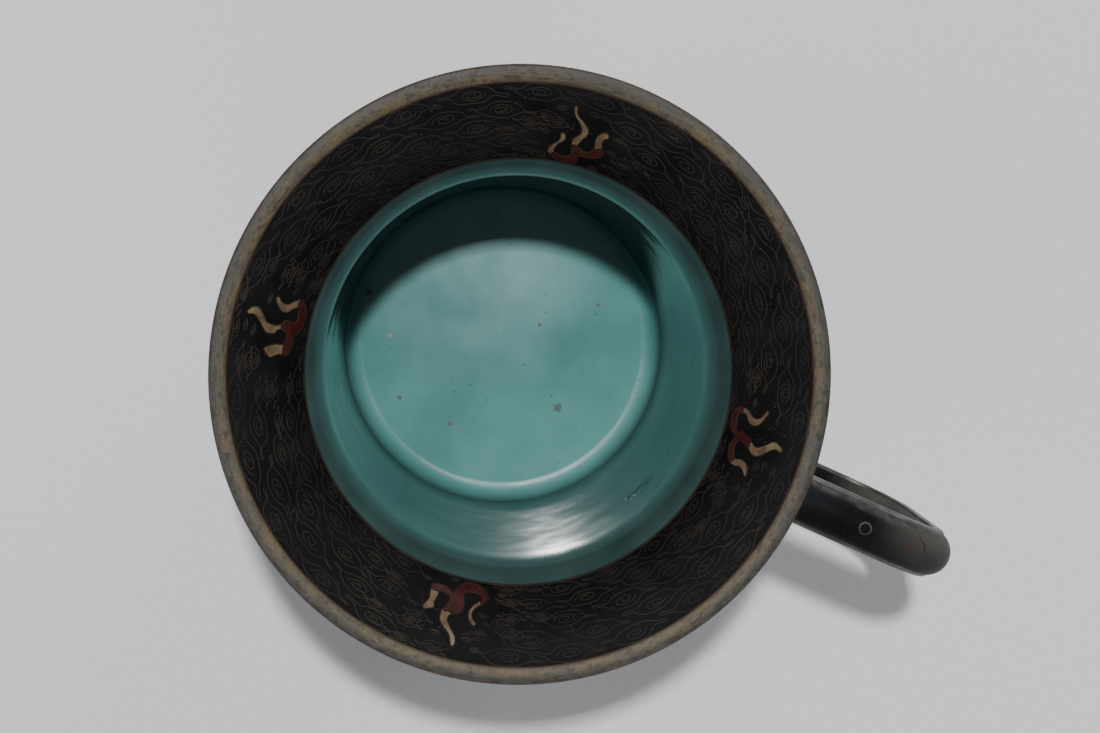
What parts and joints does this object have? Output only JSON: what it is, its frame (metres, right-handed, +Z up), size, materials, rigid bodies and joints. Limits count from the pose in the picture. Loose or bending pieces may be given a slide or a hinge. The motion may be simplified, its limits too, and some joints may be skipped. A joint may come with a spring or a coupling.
{
  "type": "cloisonne cup",
  "caption": "Handled enamelled copper cup with a broad flared black lip, flame motifs, a turquoise lining and a bare metal rim.",
  "frame": {"origin": "centre of the foot ring's bottom face, on the cup's axis", "axes": "+Z up the cup's axis towards the mouth, +X out along the handle, +Y to the left of the handle"},
  "size_m": [0.1097, 0.084, 0.064],
  "materials": {
    "copper": "plain copper, hidden under the enamel",
    "aged_brass": "worn, brushed and darkened",
    "black_enamel": "gloss, opaque",
    "turquoise_enamel": "gloss, opaque",
    "red_enamel": "gloss, opaque",
    "cream_enamel": "gloss, opaque"
  },
  "bodies": {
    "root": {"cup_wall": "copper", "floor_disc": "copper", "foot_ring": "aged_brass", "lip_ring": "aged_brass", "lining_enamel": "turquoise_enamel", "base_enamel": "turquoise_enamel", "throat_wire": "aged_brass", "flame_red_enamel": "red_enamel", "flame_cream_enamel": "cream_enamel", "lip_enamel": "black_enamel", "outside_enamel": "black_enamel", "handle_strap": "copper", "handle_left_edge_wire": "aged_brass", "handle_right_edge_wire": "aged_brass", "handle_back_enamel": "black_enamel", "handle_face_enamel": "black_enamel", "handle_ring_wire": "aged_brass"}
  },
  "joints": []
}
